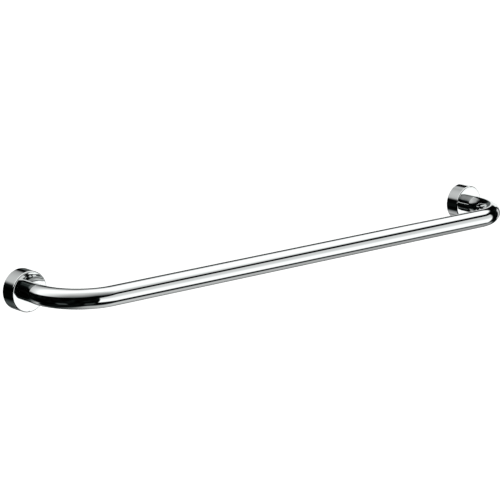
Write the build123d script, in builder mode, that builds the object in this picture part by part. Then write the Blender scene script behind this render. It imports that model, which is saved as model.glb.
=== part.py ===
"""Towel rail: a bent chrome tube on two round wall rosettes, with its hidden fixings.

Millimetres. X runs along the bar, Z is up, and the wall is the plane Y = 0 with the rail in front of it,
towards -Y. The origin lies on the wall, midway between the two rosettes.
"""

import os

from build123d import *

# Rail
centre_spacing = 600.0  # between the axes of the two rosettes
bar_projection = 74.0  # from the wall to the axis of the bar
bend_radius = 48.0  # centreline of both bends
tube_diameter = 19.0
tube_wall = 1.2

# Rosette, a turned cup with its open side to the wall
rosette_diameter = 39.0
rosette_depth = 15.5
rosette_flat_diameter = 28.0  # flat middle of the front face
rosette_crown_drop = 0.25  # fall of the crowned face from its flat middle to the rim
rosette_edge_round = 1.2
rosette_side_wall = 3.0
rosette_front_wall = 4.0
tube_seat_depth = 1.5  # recess in the front face that takes the tube end
tube_seat_clearance = 0.05

# Bush inside each tube end
insert_clearance = 0.05
insert_chamfer = 0.8

# Clamp screw, through the front wall of the rosette into the bush
clamp_screw_diameter = 6.0
clamp_screw_length = 12.0
clamp_screw_hole_clearance = 0.3
clamp_head_diameter = 10.5
clamp_head_height = 3.3
clamp_head_crown_diameter = 6.6
clamp_head_bulge = 0.5
clamp_socket_width = 4.0
clamp_socket_depth = 2.0
screw_end_chamfer = 0.7

# Split washer under the head
washer_clearance = 0.1
washer_diameter = 10.8
washer_thickness = 1.4
washer_slit = 0.8
washer_slit_angle = 20.0

# Bracket disc on the wall, with a groove round its rim
bracket_clearance = 0.2
bracket_thickness = 6.0
bracket_groove_depth = 2.0
bracket_bore_clearance = 0.75
wall_screw_hole_diameter = 4.4
wall_screw_sink_diameter = 7.8
wall_screw_sink_angle = 90.0

# Locking screw, from below through the side wall into the groove
grub_screw_diameter = 5.0
grub_screw_length = 5.0
grub_point_clearance = 0.05
grub_socket_width = 2.5
grub_socket_depth = 2.0
thread_clearance = 0.05

# Radii, and depths counted from the wall towards the bar
tube_radius = tube_diameter / 2
tube_bore_radius = tube_radius - tube_wall
tube_end_depth = rosette_depth - tube_seat_depth
straight_leg = bar_projection - bend_radius - tube_end_depth
rosette_radius = rosette_diameter / 2
cavity_radius = rosette_radius - rosette_side_wall
cavity_depth = rosette_depth - rosette_front_wall
clamp_screw_radius = clamp_screw_diameter / 2
clamp_bearing_depth = cavity_depth - washer_thickness
bracket_radius = cavity_radius - bracket_clearance
bracket_bore_radius = clamp_head_diameter / 2 + bracket_bore_clearance
groove_root_radius = bracket_radius - bracket_groove_depth
groove_middle_depth = bracket_thickness / 2
wall_screw_pitch = bracket_bore_radius + groove_root_radius
grub_screw_radius = grub_screw_diameter / 2
grub_point_radius = groove_root_radius + grub_point_clearance

os.makedirs("parts", exist_ok=True)

# The tube: two legs, two bends and the bar, swept as one hollow section
half_spacing = centre_spacing / 2
with BuildPart() as rail_tube:
    with BuildLine() as rail_path:
        FilletPolyline(
            (-half_spacing, -tube_end_depth),
            (-half_spacing, -bar_projection),
            (half_spacing, -bar_projection),
            (half_spacing, -tube_end_depth),
            radius=bend_radius,
        )
    with BuildSketch(Plane(origin=rail_path.line @ 0, z_dir=rail_path.line % 0)):
        Circle(tube_radius)
        Circle(tube_bore_radius, mode=Mode.SUBTRACT)
    sweep(path=rail_path.line)
rail_tube.part.label = "rail_tube"
export_step(rail_tube.part, "parts/rail_tube.step")

for side, centre_x in (("left", -half_spacing), ("right", half_spacing)):
    # Outwards from the wall, through the middle of this rosette
    outwards = Plane(origin=(centre_x, 0, 0), x_dir=(1, 0, 0), z_dir=(0, -1, 0))
    # Half sections of turned pieces: radius along x, depth from the wall along y
    turning = Plane(origin=(centre_x, 0, 0), x_dir=(1, 0, 0), z_dir=(0, 0, -1))
    turning_axis = Axis((centre_x, 0, 0), (0, -1, 0))
    # Downwards from the turning axis, at the middle of the bracket's groove
    groove_middle = (centre_x, -groove_middle_depth, 0)
    downwards = Plane(origin=groove_middle, x_dir=(1, 0, 0), z_dir=(0, 0, -1))
    grub_turning = Plane(origin=groove_middle, x_dir=(1, 0, 0), z_dir=(0, 1, 0))
    grub_axis = Axis(groove_middle, (0, 0, -1))

    # Rosette: a cup with a crowned front, a recess for the tube end and a screw hole behind it
    with BuildPart() as rosette:
        with BuildSketch(turning):
            seat_radius = tube_radius + tube_seat_clearance
            screw_hole_radius = clamp_screw_radius + clamp_screw_hole_clearance
            flat_edge = (rosette_flat_diameter / 2, rosette_depth)
            rim = (rosette_radius, rosette_depth - rosette_crown_drop)
            with BuildLine():
                TangentArc(flat_edge, rim, tangent=(1, 0))
                Polyline(
                    rim,
                    (rosette_radius, 0),
                    (cavity_radius, 0),
                    (cavity_radius, cavity_depth),
                    (screw_hole_radius, cavity_depth),
                    (screw_hole_radius, tube_end_depth),
                    (seat_radius, tube_end_depth),
                    (seat_radius, rosette_depth),
                    flat_edge,
                )
            make_face()
        revolve(axis=turning_axis)
        full_circles = rosette.edges().filter_by(lambda edge: edge.is_closed)
        outer_circles = full_circles.group_by(SortBy.RADIUS)[-1]
        fillet(outer_circles.sort_by(Axis.Y)[0], rosette_edge_round)
        with BuildSketch(downwards):
            Circle(grub_screw_radius + thread_clearance)
        extrude(amount=rosette_radius, mode=Mode.SUBTRACT)
    rosette.part.label = f"{side}_rosette"
    export_step(rosette.part, f"parts/{side}_rosette.step")

    # Bush that fills the straight leg of the tube, flush with the tube end
    with BuildPart() as end_insert:
        with BuildSketch(outwards.offset(tube_end_depth)):
            Circle(tube_bore_radius - insert_clearance)
            Circle(clamp_screw_radius + thread_clearance, mode=Mode.SUBTRACT)
        extrude(amount=straight_leg)
        inner_end = end_insert.faces().sort_by(Axis.Y)[0]
        chamfer(inner_end.edges(), insert_chamfer)
    end_insert.part.label = f"{side}_end_insert"
    export_step(end_insert.part, f"parts/{side}_end_insert.step")

    # Button-head screw with a hexagon socket, its head towards the wall
    with BuildPart() as clamp_screw:
        head_back_depth = clamp_bearing_depth - clamp_head_height
        tip_depth = clamp_bearing_depth + clamp_screw_length
        with BuildSketch(turning):
            with BuildLine():
                crown_end = (clamp_head_crown_diameter / 2, head_back_depth)
                head_rim = (clamp_head_diameter / 2, clamp_bearing_depth)
                Line((0, head_back_depth), crown_end)
                SagittaArc(crown_end, head_rim, clamp_head_bulge)
                Polyline(
                    head_rim,
                    (clamp_screw_radius, clamp_bearing_depth),
                    (clamp_screw_radius, tip_depth - screw_end_chamfer),
                    (clamp_screw_radius - screw_end_chamfer, tip_depth),
                    (0, tip_depth),
                    (0, head_back_depth),
                )
            make_face()
        revolve(axis=turning_axis)
        with BuildSketch(outwards.offset(head_back_depth)):
            RegularPolygon(clamp_socket_width / 2, 6, major_radius=False)
        extrude(amount=clamp_socket_depth, mode=Mode.SUBTRACT)
    clamp_screw.part.label = f"{side}_clamp_screw"
    export_step(clamp_screw.part, f"parts/{side}_clamp_screw.step")

    # Spring washer, drawn pressed flat, with its slanted slit upwards
    with BuildPart() as lock_washer:
        with BuildSketch(outwards.offset(clamp_bearing_depth)):
            Circle(washer_diameter / 2)
            Circle(clamp_screw_radius + washer_clearance, mode=Mode.SUBTRACT)
            slit_middle = (washer_diameter / 2 + clamp_screw_radius) / 2
            with Locations((0, slit_middle)):
                Rectangle(washer_slit, washer_diameter / 2, rotation=washer_slit_angle, mode=Mode.SUBTRACT)
        extrude(amount=washer_thickness)
    lock_washer.part.label = f"{side}_lock_washer"
    export_step(lock_washer.part, f"parts/{side}_lock_washer.step")

    # Bracket: a turned disc with a grooved rim and two countersunk holes
    with BuildPart() as wall_bracket:
        with BuildSketch(turning):
            with BuildLine():
                Polyline(
                    (bracket_bore_radius, 0),
                    (bracket_radius, 0),
                    (bracket_radius, groove_middle_depth - bracket_groove_depth),
                    (groove_root_radius, groove_middle_depth),
                    (bracket_radius, groove_middle_depth + bracket_groove_depth),
                    (bracket_radius, bracket_thickness),
                    (bracket_bore_radius, bracket_thickness),
                    close=True,
                )
            make_face()
        revolve(axis=turning_axis)
        with Locations(outwards.offset(bracket_thickness)):
            with GridLocations(wall_screw_pitch, wall_screw_pitch, 1, 2):
                CounterSinkHole(
                    wall_screw_hole_diameter / 2,
                    wall_screw_sink_diameter / 2,
                    counter_sink_angle=wall_screw_sink_angle,
                )
    wall_bracket.part.label = f"{side}_wall_bracket"
    export_step(wall_bracket.part, f"parts/{side}_wall_bracket.step")

    # Locking screw: a cone point in the groove and a hexagon socket at the outer end
    with BuildPart() as grub_screw:
        grub_end_radius = grub_point_radius + grub_screw_length
        with BuildSketch(grub_turning):
            with BuildLine():
                Polyline(
                    (0, grub_point_radius),
                    (grub_screw_radius, grub_point_radius + grub_screw_radius),
                    (grub_screw_radius, grub_end_radius),
                    (0, grub_end_radius),
                    close=True,
                )
            make_face()
        revolve(axis=grub_axis)
        with BuildSketch(downwards.offset(grub_end_radius)):
            RegularPolygon(grub_socket_width / 2, 6, major_radius=False)
        extrude(amount=-grub_socket_depth, mode=Mode.SUBTRACT)
    grub_screw.part.label = f"{side}_grub_screw"
    export_step(grub_screw.part, f"parts/{side}_grub_screw.step")
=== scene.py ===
# %% [markdown]
# # A chrome towel rail on a white ground
#
# The rail is one bright tube, bent back to the wall at both ends, on two thick round rosettes that hide
# their fixings. The CAD model gives every piece its size and place. This script adds what a camera sees:
# the finishes, a small studio for the chrome to mirror, a floor, and the camera itself.

# %% Load the frame
import math

import bpy
from mathutils import Matrix, Vector


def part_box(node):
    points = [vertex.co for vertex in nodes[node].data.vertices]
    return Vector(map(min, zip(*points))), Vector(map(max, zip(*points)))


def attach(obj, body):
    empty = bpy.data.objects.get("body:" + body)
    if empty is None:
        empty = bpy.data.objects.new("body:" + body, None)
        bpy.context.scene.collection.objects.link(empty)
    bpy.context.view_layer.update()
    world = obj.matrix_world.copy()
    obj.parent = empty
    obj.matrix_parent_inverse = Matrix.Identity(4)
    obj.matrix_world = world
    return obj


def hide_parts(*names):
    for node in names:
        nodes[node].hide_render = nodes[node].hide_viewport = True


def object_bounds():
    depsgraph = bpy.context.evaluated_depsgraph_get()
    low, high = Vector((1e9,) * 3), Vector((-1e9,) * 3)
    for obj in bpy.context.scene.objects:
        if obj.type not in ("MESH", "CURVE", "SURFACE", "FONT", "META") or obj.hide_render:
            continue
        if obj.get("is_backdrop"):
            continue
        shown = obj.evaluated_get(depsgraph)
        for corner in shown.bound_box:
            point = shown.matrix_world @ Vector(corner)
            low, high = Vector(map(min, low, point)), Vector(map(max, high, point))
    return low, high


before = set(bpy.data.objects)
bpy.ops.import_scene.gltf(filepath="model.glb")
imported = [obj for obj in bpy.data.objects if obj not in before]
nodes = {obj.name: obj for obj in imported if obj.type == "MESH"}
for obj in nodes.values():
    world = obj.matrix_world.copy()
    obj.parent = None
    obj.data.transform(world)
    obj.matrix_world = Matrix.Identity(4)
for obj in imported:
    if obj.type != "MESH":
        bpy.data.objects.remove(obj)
cad_low, cad_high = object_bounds()
print("pieces:", ", ".join(sorted(nodes)))
print("size in mm:", [round(1000 * side, 1) for side in cad_high - cad_low])

# %% [markdown]
# ## Helpers for node graphs
#
# A procedural finish is a small graph of nodes. It can be drawn by hand in the shader editor, but in a
# script three lines per node would hide what the graph does. So one helper adds a node and links or sets
# its inputs, and a few more name the steps that come up again and again.

# %% Add one node


def add_node(tree, kind, inputs=None, **settings):
    """Adds a node, sets its properties, and links or sets the inputs that are given by name or number."""
    node = tree.nodes.new(kind)
    for name, value in settings.items():
        setattr(node, name, value)
    for key, value in (inputs or {}).items():
        if isinstance(value, bpy.types.NodeSocket):
            tree.links.new(value, node.inputs[key])
        else:
            node.inputs[key].default_value = value
    return node


def calc(tree, operation, *values):
    """One step of arithmetic on numbers or sockets."""
    return add_node(tree, "ShaderNodeMath", dict(enumerate(values)), operation=operation).outputs[0]


print("node helpers:", add_node.__name__, calc.__name__)

# %% Ramps and mixes


def rise(tree, value, start, end):
    """0 below start, 1 above end, and a smooth step between them."""
    inputs = {"Value": value, "From Min": start, "From Max": end}
    node = add_node(tree, "ShaderNodeMapRange", inputs, interpolation_type="SMOOTHSTEP")
    return node.outputs["Result"]


def slope(tree, value, start, end, low, high):
    """A straight change from low to high while value goes from start to end."""
    inputs = {"Value": value, "From Min": start, "From Max": end, "To Min": low, "To Max": high}
    return add_node(tree, "ShaderNodeMapRange", inputs).outputs["Result"]


def blend(tree, share, low, high):
    """The number low where share is 0, high where it is 1."""
    return add_node(tree, "ShaderNodeMix", {0: share, 2: low, 3: high}, data_type="FLOAT").outputs[0]


def tint(tree, share, low, high):
    """The colour low where share is 0, high where it is 1."""
    return add_node(tree, "ShaderNodeMix", {0: share, 6: low, 7: high}, data_type="RGBA").outputs[2]


print("ramps and mixes:", rise.__name__, slope.__name__, blend.__name__, tint.__name__)

# %% Noise


def cloud_noise(tree, place, scale, detail):
    """Soft clouds in space, around 0.5."""
    inputs = {"Vector": place, "Scale": scale, "Detail": detail}
    return add_node(tree, "ShaderNodeTexNoise", inputs).outputs["Fac"]


def line_noise(tree, along, detail):
    """Uneven lines along one measure, around 0.5."""
    inputs = {"W": along, "Scale": 1.0, "Detail": detail}
    return add_node(tree, "ShaderNodeTexNoise", inputs, noise_dimensions="1D").outputs["Fac"]


print("noises:", cloud_noise.__name__, line_noise.__name__)

# %% Start a metal


def new_metal(name):
    """A metallic material, its node tree and its shader."""
    material = bpy.data.materials.new(name)
    material.use_nodes = True
    tree = material.node_tree
    shader = tree.nodes["Principled BSDF"]
    shader.inputs["Metallic"].default_value = 1.0
    return material, tree, shader


print("materials start with", new_metal.__name__)

# %% [markdown]
# ## Where a point lies on a turned piece
#
# Rosettes, bushes, screws and brackets are all lathe work about the same two axes, one at each end of the
# rail. Lathe marks are rings about such an axis, so the finishes need a point's distance from it. Taking
# the size of x first folds the left end onto the right one, and one formula serves both.

# %% Distance from the lathe axis
HALF_SPACING = 0.300


def lathe_place(tree):
    """Position on the piece, distance from the nearer rosette axis, and depth from the wall."""
    place = add_node(tree, "ShaderNodeTexCoord").outputs["Object"]
    parts = add_node(tree, "ShaderNodeSeparateXYZ", {0: place})
    x_size = calc(tree, "ABSOLUTE", parts.outputs["X"])
    across = calc(tree, "SUBTRACT", x_size, HALF_SPACING)
    across_square = calc(tree, "POWER", across, 2.0)
    height_square = calc(tree, "POWER", parts.outputs["Z"], 2.0)
    distance = calc(tree, "SQRT", calc(tree, "ADD", across_square, height_square))
    depth = calc(tree, "MULTIPLY", parts.outputs["Y"], -1.0)
    return place, distance, depth


print("lathe axes at x =", -HALF_SPACING, "and", HALF_SPACING, "m")

# %% [markdown]
# ## Polished chrome
#
# Chrome plate is a mirror with a trace of blue-green. A perfect mirror looks like a computer's, though.
# Buffing leaves soft clouds of slightly lower gloss, and the brass below the plate is never quite true, so
# reflections waver a little. Noise a few millimetres across drives both: one noise moves the roughness by
# hundredths and the colour by even less, and a broader one bumps the surface by a fraction of a degree.

# %% Chrome
CHROME_COLOURS = ((0.955, 0.968, 0.962, 1.0), (0.936, 0.958, 0.955, 1.0))
CHROME_ROUGHNESS = (0.010, 0.032)
BUFFING_SCALE = 260.0
BUFFING_DETAIL = 4.0
BUFFING_RANGE = (0.3, 0.7)
WAVER_SCALE = 70.0
WAVER_DETAIL = 1.0
WAVER_HEIGHT = 0.000012


def add_chrome(tree, shader, place):
    """Links the chrome's waver and returns its colour and roughness."""
    buffing = cloud_noise(tree, place, BUFFING_SCALE, BUFFING_DETAIL)
    waver = cloud_noise(tree, place, WAVER_SCALE, WAVER_DETAIL)
    bump = add_node(tree, "ShaderNodeBump", {"Height": waver, "Distance": WAVER_HEIGHT})
    tree.links.new(bump.outputs["Normal"], shader.inputs["Normal"])
    share = slope(tree, buffing, *BUFFING_RANGE, 0.0, 1.0)
    return tint(tree, share, *CHROME_COLOURS), blend(tree, share, *CHROME_ROUGHNESS)


def make_rail_chrome():
    """Chrome for the tube, the same all over."""
    material, tree, shader = new_metal("rail_chrome")
    place = add_node(tree, "ShaderNodeTexCoord").outputs["Object"]
    colour, roughness = add_chrome(tree, shader, place)
    tree.links.new(colour, shader.inputs["Base Color"])
    tree.links.new(roughness, shader.inputs["Roughness"])
    return material


rail_chrome = make_rail_chrome()
print("chrome roughness from", CHROME_ROUGHNESS[0], "to", CHROME_ROUGHNESS[1])

# %% [markdown]
# ## The tube
#
# The tube is drawn steel or brass, bent cold on a round former, so both bends are true quarter circles.
# In Blender a bevelled curve is the quick way to a pipe, but a Bezier corner is only nearly round, and a
# mirror shows that. Here rings are placed along the axis by formula: two short legs, two arcs and the
# bar. The rings are close together in the bends, where reflections run fast, and few on the straights.

# %% Axis of the tube
rail_low, rail_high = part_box("rail_tube")
TUBE_RADIUS = rail_high.z
BAR_Y = rail_low.y + TUBE_RADIUS
BEND_RADIUS = 0.048
BEND_STEPS = 96
BAR_STEPS = 8


def tube_axis():
    """Points and directions along the tube's axis, from the left end to the right end."""
    bend_centre = Vector((-HALF_SPACING + BEND_RADIUS, BAR_Y + BEND_RADIUS, 0))
    line = [(Vector((-HALF_SPACING, rail_high.y, 0)), Vector((0, -1, 0)))]
    for step in range(BEND_STEPS + 1):
        turn = math.pi / 2 * step / BEND_STEPS
        outwards = Vector((-math.cos(turn), -math.sin(turn), 0))
        onwards = Vector((math.sin(turn), -math.cos(turn), 0))
        line.append((bend_centre + BEND_RADIUS * outwards, onwards))
    left_half = list(line)
    bar = -2 * bend_centre.x
    for step in range(1, BAR_STEPS):
        bar_x = bend_centre.x + bar * step / BAR_STEPS
        line.append((Vector((bar_x, BAR_Y, 0)), Vector((1, 0, 0))))
    for point, direction in reversed(left_half):
        line.append((Vector((-point.x, point.y, 0)), Vector((direction.x, -direction.y, 0))))
    return line


axis = tube_axis()
print("rings along the tube:", len(axis))

# %% [markdown]
# ## Skin of the tube
#
# A real tube has a wall, and its ends are open rings that sit in the rosettes. So each place on the axis
# carries two rings of points, one outside and one inside, and the faces between neighbours make two skins
# joined at the ends. Smooth shading on such an even net gives the same normals as a true torus.

# %% Rings and faces
TUBE_WALL = 0.0012
RING_SIDES = 192
SHARP_ANGLE = math.radians(40)


def ring(point, direction, radius):
    """Points round the axis at one place."""
    up = Vector((0, 0, 1))
    side = direction.cross(up)
    turns = (2 * math.pi * k / RING_SIDES for k in range(RING_SIDES))
    return [point + radius * (math.cos(turn) * side + math.sin(turn) * up) for turn in turns]


def make_rail():
    """The tube as an outer and an inner skin, with a flat ring at each end."""
    points, faces = [], []
    for radius in (TUBE_RADIUS, TUBE_RADIUS - TUBE_WALL):
        for point, direction in axis:
            points += ring(point, direction, radius)
    inner = len(axis) * RING_SIDES
    last = inner - RING_SIDES
    for k in range(RING_SIDES):
        n = (k + 1) % RING_SIDES
        for row in range(0, last, RING_SIDES):
            a, b, c, d = row + k, row + n, row + RING_SIDES + n, row + RING_SIDES + k
            faces.append((a, b, c, d))
            faces.append((inner + d, inner + c, inner + b, inner + a))
        faces.append((k, inner + k, inner + n, n))
        faces.append((last + n, inner + last + n, inner + last + k, last + k))
    mesh = bpy.data.meshes.new("polished_rail")
    mesh.from_pydata(points, [], faces)
    mesh.shade_smooth()
    mesh.set_sharp_from_angle(angle=SHARP_ANGLE)
    mesh.materials.append(rail_chrome)
    rail = bpy.data.objects.new("polished_rail", mesh)
    bpy.context.scene.collection.objects.link(rail)
    return rail


rail = make_rail()
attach(rail, "root")
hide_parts("rail_tube")
print("rail faces:", len(rail.data.polygons))

# %% [markdown]
# ## The rosettes
#
# A rosette is a thick turned cup, chromed with the rail, and its CAD shape stays as it is. No buffing wheel
# reaches into the cup, and plate grows thin in a hollow, so there and on the rim against the wall the
# chrome is satin and a little warm. A mask from the distance to the axis and the depth tells the two
# surfaces apart, which needs no second material slot and no change to the mesh.

# %% Rosette chrome
CUP_RADIUS = 0.0166
CUP_DEPTH = 0.0116
BACK_RIM_DEPTH = 0.0001
SATIN_COLOURS = ((0.72, 0.705, 0.68, 1.0), (0.80, 0.79, 0.77, 1.0))
SATIN_ROUGHNESS = (0.46, 0.66)
SATIN_ROUGHNESS_RANGE = (0.3, 0.7)
SATIN_COLOUR_RANGE = (0.35, 0.65)
LATHE_LINES = 3600.0
LATHE_DETAIL = 2.0


def make_rosette_chrome():
    """Bright chrome outside, satin chrome with lathe rings in the cup and on its rim."""
    material, tree, shader = new_metal("rosette_chrome")
    place, distance, depth = lathe_place(tree)
    bright_colour, bright_roughness = add_chrome(tree, shader, place)
    within = calc(tree, "LESS_THAN", distance, CUP_RADIUS)
    in_cup = calc(tree, "MULTIPLY", within, calc(tree, "LESS_THAN", depth, CUP_DEPTH))
    satin = calc(tree, "MAXIMUM", in_cup, calc(tree, "LESS_THAN", depth, BACK_RIM_DEPTH))
    along = calc(tree, "MULTIPLY", calc(tree, "ADD", distance, depth), LATHE_LINES)
    marks = line_noise(tree, along, LATHE_DETAIL)
    satin_roughness = slope(tree, marks, *SATIN_ROUGHNESS_RANGE, *SATIN_ROUGHNESS)
    tree.links.new(blend(tree, satin, bright_roughness, satin_roughness), shader.inputs["Roughness"])
    satin_colour = tint(tree, rise(tree, marks, *SATIN_COLOUR_RANGE), *SATIN_COLOURS)
    tree.links.new(tint(tree, satin, bright_colour, satin_colour), shader.inputs["Base Color"])
    return material


rosette_chrome = make_rosette_chrome()
for name in ("left_rosette", "right_rosette"):
    nodes[name].data.materials[0] = rosette_chrome
print("satin inside a cup of radius", 1000 * CUP_RADIUS, "mm")

# %% [markdown]
# ## Turned metal behind the chrome
#
# From the wall side one sees the fixings: a dull steel bracket disc faced on a lathe, a zinc-plated screw
# with its spring washer, and a brass bush in the tube. A lathe tool leaves rings, fine and not quite even.
# A wave texture would repeat too neatly. Noise in one dimension, read along the distance from the axis,
# gives rings that differ, and the same noise moves colour, roughness and bump together as real marks do.

# %% Turned finish
MARK_DETAIL = 3.0
MARK_HEIGHT = 0.000006
CLOUD_DETAIL = 3.0
RING_SHARE = 0.7
TURNED_RANGE = (0.35, 0.65)


def make_turned(name, colours, roughness, lines, cloud_scale):
    """Metal with lathe rings, and a broad cloud of stain or handling over them."""
    material, tree, shader = new_metal(name)
    place, distance, depth = lathe_place(tree)
    along = calc(tree, "MULTIPLY", calc(tree, "ADD", distance, depth), lines)
    marks = line_noise(tree, along, MARK_DETAIL)
    cloud = cloud_noise(tree, place, cloud_scale, CLOUD_DETAIL)
    share = rise(tree, blend(tree, RING_SHARE, cloud, marks), *TURNED_RANGE)
    tree.links.new(tint(tree, share, *colours), shader.inputs["Base Color"])
    tree.links.new(blend(tree, share, *roughness), shader.inputs["Roughness"])
    bump = add_node(tree, "ShaderNodeBump", {"Height": marks, "Distance": MARK_HEIGHT})
    tree.links.new(bump.outputs["Normal"], shader.inputs["Normal"])
    return material


print("share of rings in a turned finish:", RING_SHARE)

# %% Steel, zinc and brass
BRACKET_GREYS = ((0.60, 0.60, 0.605, 1.0), (0.78, 0.78, 0.775, 1.0))
ZINC_GREYS = ((0.62, 0.65, 0.69, 1.0), (0.80, 0.81, 0.80, 1.0))
STAINLESS_GREYS = ((0.50, 0.50, 0.505, 1.0), (0.64, 0.64, 0.635, 1.0))
SPRING_GREYS = ((0.34, 0.34, 0.35, 1.0), (0.48, 0.47, 0.46, 1.0))
BRASSES = ((0.66, 0.48, 0.21, 1.0), (0.80, 0.60, 0.28, 1.0))

turned_finishes = {
    "wall_bracket": make_turned(
        "turned_bracket_steel", BRACKET_GREYS, roughness=(0.52, 0.70), lines=2800.0, cloud_scale=180.0
    ),
    "clamp_screw": make_turned(
        "zinc_screw", ZINC_GREYS, roughness=(0.30, 0.44), lines=2600.0, cloud_scale=420.0
    ),
    "grub_screw": make_turned(
        "stainless_grub_screw", STAINLESS_GREYS, roughness=(0.22, 0.36), lines=3000.0, cloud_scale=600.0
    ),
    "lock_washer": make_turned(
        "spring_washer_steel", SPRING_GREYS, roughness=(0.38, 0.54), lines=2600.0, cloud_scale=500.0
    ),
    "end_insert": make_turned(
        "turned_brass", BRASSES, roughness=(0.26, 0.44), lines=2800.0, cloud_scale=240.0
    ),
}
for piece, finish in turned_finishes.items():
    for side in ("left", "right"):
        nodes[f"{side}_{piece}"].data.materials[0] = finish
print("turned finishes:", ", ".join(finish.name for finish in turned_finishes.values()))

# %% [markdown]
# ## A studio for the chrome to mirror
#
# Chrome has hardly a colour of its own: its whites, greys and blacks are the room around it. The
# photograph shows a usual set for bright metal: a light ceiling that grows dim towards the camera, a white
# card in front, a pale board below, and dark cloth between them that draws the black lines. Lamps and cards
# could be modelled as sheets. Here the world shader paints most of them by direction instead, as azimuth
# and height in degrees: what is far off looks the same from the whole rail, and no card then stands in
# another view. Azimuth is counted to the right from straight in front.

# %% Directions
studio = bpy.data.worlds.new("studio")
bpy.context.scene.world = studio
studio.use_nodes = True
room = studio.node_tree
room.nodes.clear()
to_degrees = 180 / math.pi
looking = add_node(room, "ShaderNodeTexCoord").outputs["Generated"]
parts = add_node(room, "ShaderNodeSeparateXYZ", {0: looking})
east, north, up = (parts.outputs[axis_name] for axis_name in "XYZ")
front = calc(room, "MULTIPLY", north, -1.0)
azimuth = calc(room, "MULTIPLY", calc(room, "ARCTAN2", east, front), to_degrees)
height = calc(room, "MULTIPLY", calc(room, "ARCSINE", up), to_degrees)
print("nodes for azimuth and height:", len(room.nodes))

# %% Edges and areas of the room


def over(value, edge, soft):
    """1 beyond an edge, with a soft border of the given width."""
    return rise(room, value, edge - soft / 2, edge + soft / 2)


def under(value, edge, soft):
    """1 up to an edge, with a soft border of the given width."""
    return calc(room, "SUBTRACT", 1.0, over(value, edge, soft))


def product(first, *others):
    """All the given shares multiplied."""
    for other in others:
        first = calc(room, "MULTIPLY", first, other)
    return first


def area(left, right, low, high, soft):
    """A soft-edged rectangle of the room, by azimuth and height."""
    across = product(over(azimuth, left, soft), under(azimuth, right, soft))
    upright = product(over(height, low, soft), under(height, high, soft))
    return product(across, upright)


def broken_line(tree, value, corners):
    """Level of a line through the given corners, at value."""
    line = corners[0][1]
    for (start, level), (end, next_level) in zip(corners, corners[1:]):
        line = calc(tree, "ADD", line, slope(tree, value, start, end, 0.0, next_level - level))
    return line


print("room helpers:", over.__name__, under.__name__, product.__name__, area.__name__, broken_line.__name__)

# %% [markdown]
# ## Ceiling
#
# Tones are written as the grey that a screen shows and turned into light at the end. An edge is written as
# a pair, where it lies and how soft it is. The ceiling's lower edge rises towards the front, where the
# camera's side of the room is dark, and its light fades there too. That fade is the soft shading along the
# top of the tube. To the rear the edge lies high, because a wall stands before the ceiling there. It comes
# later, as a sheet of its own. Below the ceiling hangs dark cloth, with faint folds from a noise.

# %% Ceiling
WHITE = 1.04
CEILING_EDGE = (
    (-150, 60), (-125, 18), (-115, 18), (-60, 29), (0, 39),
    (30, 32), (62, 35), (100, 32), (134, 30.5), (140, 60),
)
CEILING_SOFT = 6.0
DIM_SIDES = ((-90, 80), (49, 50))
DIM_DEPTH = 0.66
DIM_TOP = 110.0
DIM_BEND = 1.5

ceiling_edge = broken_line(room, azimuth, CEILING_EDGE)
above_edge = calc(room, "SUBTRACT", height, ceiling_edge)
dim_side = product(over(azimuth, *DIM_SIDES[0]), under(azimuth, *DIM_SIDES[1]))
to_top = calc(room, "DIVIDE", above_edge, calc(room, "SUBTRACT", DIM_TOP, ceiling_edge))
fall = calc(room, "POWER", slope(room, to_top, 0.0, 1.0, 1.0, 0.0), DIM_BEND)
ceiling = calc(room, "SUBTRACT", WHITE, product(dim_side, fall, DIM_DEPTH))
edge_heights = [level for _, level in CEILING_EDGE]
print("ceiling edge between", min(edge_heights), "and", max(edge_heights), "degrees")

# %% Cloth below the ceiling
CLOTH_TONES = (0.015, 0.11)
FOLD_SCALE = 3.5
FOLD_DETAIL = 2.0
FOLD_RANGE = (0.4, 0.7)

folds = cloud_noise(room, looking, FOLD_SCALE, FOLD_DETAIL)
cloth = slope(room, folds, *FOLD_RANGE, *CLOTH_TONES)
tone = blend(room, over(above_edge, 0, CEILING_SOFT), cloth, ceiling)
print("cloth tones from", CLOTH_TONES[0], "to", CLOTH_TONES[1])

# %% [markdown]
# ## Board below
#
# A pale board lies under the right half of the rail. It is flat, so its straight edges are straight only in
# floor coordinates: the direction divided by how steeply it looks down. The board is shaded across its
# corner, dark at the left and rear. The underside of the bar shows it as a grey strip, and its left edge is
# why the underside of the left bend stays black. Behind the rail the ground is dark far off and pale near
# by, and the lower sides of the rosettes mirror that.

# %% Floor board
LEAST_STEEPNESS = 0.05
BOARD_LEFT = (-0.12, 0.25)
BOARD_FRONT = (-0.44, 0.45)
BOARD_SHADE = ((-0.45, 0.2), (0.1, 0.65), (1.1, 0.88))
BOARD_FALL = ((0.7, 1.15), (1.0, 0.63))
BOARD_FADE = (24.0, 34.0)

down = calc(room, "MULTIPLY", up, -1.0)
steepness = calc(room, "MAXIMUM", down, LEAST_STEEPNESS)
board_x = calc(room, "DIVIDE", east, steepness)
board_y = calc(room, "DIVIDE", north, steepness)
below = rise(room, calc(room, "MULTIPLY", height, -1.0), *BOARD_FADE)
board = product(over(board_x, *BOARD_LEFT), over(board_y, *BOARD_FRONT), below)
board_tone = broken_line(room, calc(room, "SUBTRACT", board_x, board_y), BOARD_SHADE)
board_fall = slope(room, board_x, *BOARD_FALL[0], *BOARD_FALL[1])
tone = calc(room, "MAXIMUM", tone, product(board, board_tone, board_fall))
print("board tones from", BOARD_SHADE[0][1], "to", BOARD_SHADE[-1][1])

# %% Ground behind
GROUND_EDGE = ((-180, -30), (-155, -28), (-137, -23.5), (150, -30))
GROUND_FALL = ((0, 21), (0.0, 0.75))
GROUND_SIDES = ((-145, 14), (155, 10))
GROUND_END = (-50, 4)

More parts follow.
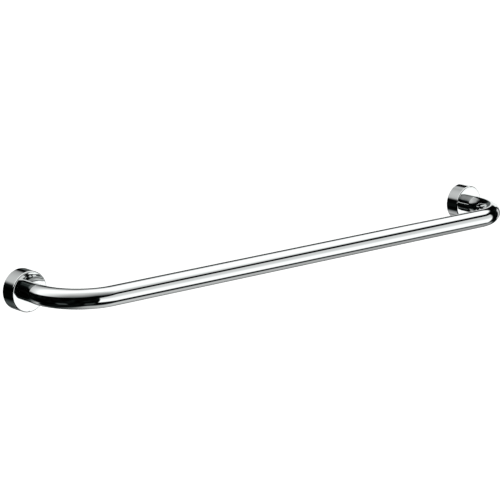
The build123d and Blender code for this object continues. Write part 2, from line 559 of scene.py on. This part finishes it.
below_edge = calc(room, "SUBTRACT", broken_line(room, azimuth, GROUND_EDGE), height)
ground_tone = slope(room, below_edge, *GROUND_FALL[0], *GROUND_FALL[1])
ground_sides = calc(room, "MAXIMUM", under(azimuth, *GROUND_SIDES[0]), over(azimuth, *GROUND_SIDES[1]))
ground = product(ground_sides, over(height, *GROUND_END))
tone = calc(room, "MAXIMUM", tone, product(ground, ground_tone))
print("ground behind from", GROUND_EDGE[0][1], "down to", GROUND_END[0], "degrees")

# %% [markdown]
# ## Card in front
#
# The white lower half of the bar and the white face of the rosette both mirror one large card, in front and
# to the right. Its upper part is a little greyer, as a card is where it leans away from the lamps, and its
# upper edge climbs to the right.

# %% Card
CARD_SIDES = ((1, 4), (69, 8))
CARD_BOTTOM = (-33.5, 8)
CARD_EDGE = ((0, 12.5), (45, 21.8))
CARD_EDGE_SOFT = 4.0
CARD_TONES = (1.04, 0.83)
CARD_TURN = (-10.0, 5.0)

above_card = calc(room, "SUBTRACT", height, broken_line(room, azimuth, CARD_EDGE))
card_width = product(over(azimuth, *CARD_SIDES[0]), under(azimuth, *CARD_SIDES[1]))
card = product(card_width, over(height, *CARD_BOTTOM), under(above_card, 0, CARD_EDGE_SOFT))
tone = blend(room, card, tone, slope(room, height, *CARD_TURN, *CARD_TONES))
print("card from azimuth", CARD_SIDES[0][0], "to", CARD_SIDES[1][0], "degrees")

# %% [markdown]
# ## Small things in the room
#
# A few soft lights to the right, one of them dim, and pale sheen on the dark cloth are what the right leg
# and the bends show as broken lights. They are single soft rectangles. A window straight behind lights the
# fixings on the wall side, which no other lamp reaches. Its sill slants, so that it stays clear of what the
# rosettes show to the camera.

# %% Lights and sheen
# Left, right, low and high edge in degrees, tone, softness
SMALL_LIGHTS = (
    (98, 110, -20, 10.5, 0.78, 4),
    (116, 134, -6, 13.5, 0.97, 4),
    (113, 143, -22, -14, 1.04, 6),
    (132, 160, -29, 18, 0.35, 6),
    (-88, -62, -52, -36, 0.31, 10),
    (-26, -2, -50, -38, 0.32, 10),
)

for left, right, low, high, grey, soft in SMALL_LIGHTS:
    tone = calc(room, "MAXIMUM", tone, product(area(left, right, low, high, soft), grey))
print("small lights:", len(SMALL_LIGHTS))

# %% Window behind
WINDOW_SIDES = ((-166, 6), (155, 6))
WINDOW_SILL = ((-180, -32), (-168, -30), (-160, -18), (155, -32))
WINDOW_SILL_SOFT = 6.0
WINDOW_TOP = (14, 6)
WINDOW_TONE = 1.0

behind = calc(room, "MAXIMUM", under(azimuth, *WINDOW_SIDES[0]), over(azimuth, *WINDOW_SIDES[1]))
above_sill = calc(room, "SUBTRACT", height, broken_line(room, azimuth, WINDOW_SILL))
window = product(behind, over(above_sill, 0, WINDOW_SILL_SOFT), under(height, *WINDOW_TOP))
tone = calc(room, "MAXIMUM", tone, product(window, WINDOW_TONE))
print("window up to", WINDOW_TOP[0], "degrees")

# %% [markdown]
# ## From tones to light
#
# A screen shows the 2.2nd root of light, so the tones are raised to that power. Black cloth in photographs
# of chrome is seldom neutral, and here it leans to blue-green, so the darkest tones get that tint. The
# camera itself sees plain white behind the rail: Light Path tells its rays from those that left a mirror.
# The white therefore adds no light to the object.

# %% World output
SCREEN_POWER = 2.2
CLOTH_COLOUR = (0.70, 1.0, 0.97, 1.0)
LAMP_COLOUR = (0.985, 1.0, 1.0, 1.0)
TINTED_TONES = (0.0, 0.5)
PURE_WHITE = (1.0, 1.0, 1.0, 1.0)

colour = tint(room, slope(room, tone, *TINTED_TONES, 0.0, 1.0), CLOTH_COLOUR, LAMP_COLOUR)
light = calc(room, "POWER", tone, SCREEN_POWER)
seen = add_node(room, "ShaderNodeLightPath").outputs["Is Camera Ray"]
strength = blend(room, seen, light, 1.0)
colour = tint(room, seen, colour, PURE_WHITE)
background = add_node(room, "ShaderNodeBackground", {"Color": colour, "Strength": strength})
room.links.new(background.outputs[0], add_node(room, "ShaderNodeOutputWorld").inputs["Surface"])
print("room nodes:", len(room.nodes))

# %% [markdown]
# ## Rear wall
#
# The two ends of the rail are 600 mm apart, so they see a wall close behind them at different angles. A
# room painted by direction can't show that, so this wall is a real sheet. It glows, and the glow is painted
# lighter towards its top and its left, as lamp light would fall; its lower edge slants up to the right. The
# rosettes show it as a grey band on their sides, and the dark below its slanting edge is the short black
# mark on top of each. Only mirrors see the sheet, so it doesn't stand before the rail in a view from
# behind.

# %% Wall glow
WALL_EDGE = ((-1.4, 0.44), (-0.7, 0.37), (0.0, 0.53), (0.25, 0.68), (0.9, 0.83))
WALL_EDGE_SOFT = 0.22
WALL_TONES = ((-1.3, 0.96), (-0.2, 0.70), (0.4, 0.55), (1.0, 0.76))
WALL_TONE_HEIGHT = 0.7
WALL_CLIMB = 0.39


def make_wall_glow():
    """Painted glow that grows with height, and a clear part below the slanting edge."""
    material = bpy.data.materials.new("glowing_wall")
    material.use_nodes = True
    material.cycles.emission_sampling = "NONE"
    tree = material.node_tree
    tree.nodes.clear()
    place = add_node(tree, "ShaderNodeTexCoord").outputs["Object"]
    parts = add_node(tree, "ShaderNodeSeparateXYZ", {0: place})
    along, high = parts.outputs["X"], parts.outputs["Z"]
    # painted light: the glow is lighter higher up and to the left, as lamp light would fall on a wall
    climb = calc(tree, "MULTIPLY", calc(tree, "SUBTRACT", high, WALL_TONE_HEIGHT), WALL_CLIMB)
    grey = calc(tree, "ADD", broken_line(tree, along, WALL_TONES), climb)
    strength = calc(tree, "POWER", calc(tree, "MINIMUM", grey, WHITE), SCREEN_POWER)
    glow = add_node(tree, "ShaderNodeEmission", {"Color": LAMP_COLOUR, "Strength": strength})
    above = calc(tree, "SUBTRACT", high, broken_line(tree, along, WALL_EDGE))
    share = rise(tree, above, -WALL_EDGE_SOFT / 2, WALL_EDGE_SOFT / 2)
    clear = add_node(tree, "ShaderNodeBsdfTransparent")
    sheet = add_node(tree, "ShaderNodeMixShader", {0: share, 1: clear.outputs[0], 2: glow.outputs[0]})
    tree.links.new(sheet.outputs[0], add_node(tree, "ShaderNodeOutputMaterial").inputs["Surface"])
    return material


wall_glow = make_wall_glow()
print("wall finish nodes:", len(wall_glow.node_tree.nodes))

# %% Wall sheet
WALL_Y = 0.82
WALL_SIDES = (-1.5, 1.5)
WALL_HEIGHTS = (0.0, 3.5)


def make_sheet(name, corners, material):
    """One flat face through four corners."""
    mesh = bpy.data.meshes.new(name)
    mesh.from_pydata(corners, [], [(0, 1, 2, 3)])
    mesh.materials.append(material)
    sheet = bpy.data.objects.new(name, mesh)
    bpy.context.scene.collection.objects.link(sheet)
    return sheet


wall_left, wall_right = WALL_SIDES
wall_foot, wall_top = WALL_HEIGHTS
wall_corners = [
    (wall_left, WALL_Y, wall_foot),
    (wall_right, WALL_Y, wall_foot),
    (wall_right, WALL_Y, wall_top),
    (wall_left, WALL_Y, wall_top),
]
wall = make_sheet("rear_wall", wall_corners, wall_glow)
wall.visible_camera = False
wall.visible_diffuse = False
wall.visible_transmission = False
wall.visible_shadow = False
wall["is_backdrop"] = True
print("sheet", WALL_Y, "m behind the rosettes")

# %% [markdown]
# ## Floor
#
# A towel rail hangs about 1.2 m above a bathroom floor, so the pale floor lies that far below. It is a
# plain large sheet. To the camera it glows a little on top of the light it gets, so it comes out white and
# still keeps a shadow. It stays out of mirrors, where the board already plays its part, and its back is
# clear, so that it doesn't hide the rail from below.

# %% Floor finish
FLOOR_COLOUR = (0.86, 0.86, 0.86, 1.0)
FLOOR_ROUGHNESS = 0.9
FLOOR_GLOW = 0.75


def make_floor_finish():
    """Pale matt paint on top, clear from below."""
    material = bpy.data.materials.new("pale_floor")
    material.use_nodes = True
    tree = material.node_tree
    shader = tree.nodes["Principled BSDF"]
    shader.inputs["Base Color"].default_value = FLOOR_COLOUR
    shader.inputs["Roughness"].default_value = FLOOR_ROUGHNESS
    shader.inputs["Emission Color"].default_value = PURE_WHITE
    to_camera = add_node(tree, "ShaderNodeLightPath").outputs["Is Camera Ray"]
    tree.links.new(calc(tree, "MULTIPLY", to_camera, FLOOR_GLOW), shader.inputs["Emission Strength"])
    from_below = add_node(tree, "ShaderNodeNewGeometry").outputs["Backfacing"]
    clear = add_node(tree, "ShaderNodeBsdfTransparent").outputs[0]
    sheet = add_node(tree, "ShaderNodeMixShader", {0: from_below, 1: shader.outputs[0], 2: clear})
    tree.links.new(sheet.outputs[0], tree.nodes["Material Output"].inputs["Surface"])
    return material


floor_finish = make_floor_finish()
print("floor grey:", FLOOR_COLOUR[0])

# %% Floor sheet
FLOOR_DROP = 1.2
FLOOR_HALF = 40.0

floor_corners = [
    (-FLOOR_HALF, -FLOOR_HALF, -FLOOR_DROP),
    (FLOOR_HALF, -FLOOR_HALF, -FLOOR_DROP),
    (FLOOR_HALF, FLOOR_HALF, -FLOOR_DROP),
    (-FLOOR_HALF, FLOOR_HALF, -FLOOR_DROP),
]
floor = make_sheet("floor", floor_corners, floor_finish)
floor.visible_glossy = False
floor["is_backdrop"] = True
print("floor", FLOOR_DROP, "m below the rail")

# %% [markdown]
# ## Camera
#
# The photograph was taken from the left, a little above, with a long lens, so far edges run almost
# parallel to near ones. The place and the lens come from lining up the tube and the rims of both rosettes
# with the photograph. The rotation is built from three plain angles: turn, tilt and roll.

# %% Camera
PHOTO_SIDE = 500
FOCAL_PIXELS = 2042.85
SENSOR = 36.0
CAMERA_PLACE = Vector((-1.37121, -1.48514, 0.48047))
TURN = math.radians(42.428)
TILT = math.radians(13.633)
ROLL = math.radians(0.715)

camera_data = bpy.data.cameras.new("camera")
camera_data.sensor_width = SENSOR
camera_data.lens = FOCAL_PIXELS / PHOTO_SIDE * SENSOR
camera = bpy.data.objects.new("camera", camera_data)
bpy.context.scene.collection.objects.link(camera)
forward = Vector((math.sin(TURN) * math.cos(TILT), math.cos(TURN) * math.cos(TILT), -math.sin(TILT)))
level_right = forward.cross(Vector((0, 0, 1))).normalized()
level_up = level_right.cross(forward)
right = level_right * math.cos(ROLL) + level_up * math.sin(ROLL)
upward = level_up * math.cos(ROLL) - level_right * math.sin(ROLL)
facing = Matrix((right, upward, -forward)).transposed().to_4x4()
camera.matrix_world = Matrix.Translation(CAMERA_PLACE) @ facing
bpy.context.scene.camera = camera
bpy.context.scene.view_settings.view_transform = "Standard"
print("lens in mm:", round(camera_data.lens, 1))

# %% [markdown]
# ## Sizes
#
# The dressed model should fill the same box as the CAD model. Both boxes are written down, so a slip
# in the tube's formula would show at once.

# %% Compare the boxes
new_low, new_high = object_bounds()
low_change = [round(1000 * side, 3) for side in new_low - cad_low]
high_change = [round(1000 * side, 3) for side in new_high - cad_high]
print("difference in mm:", low_change, high_change)
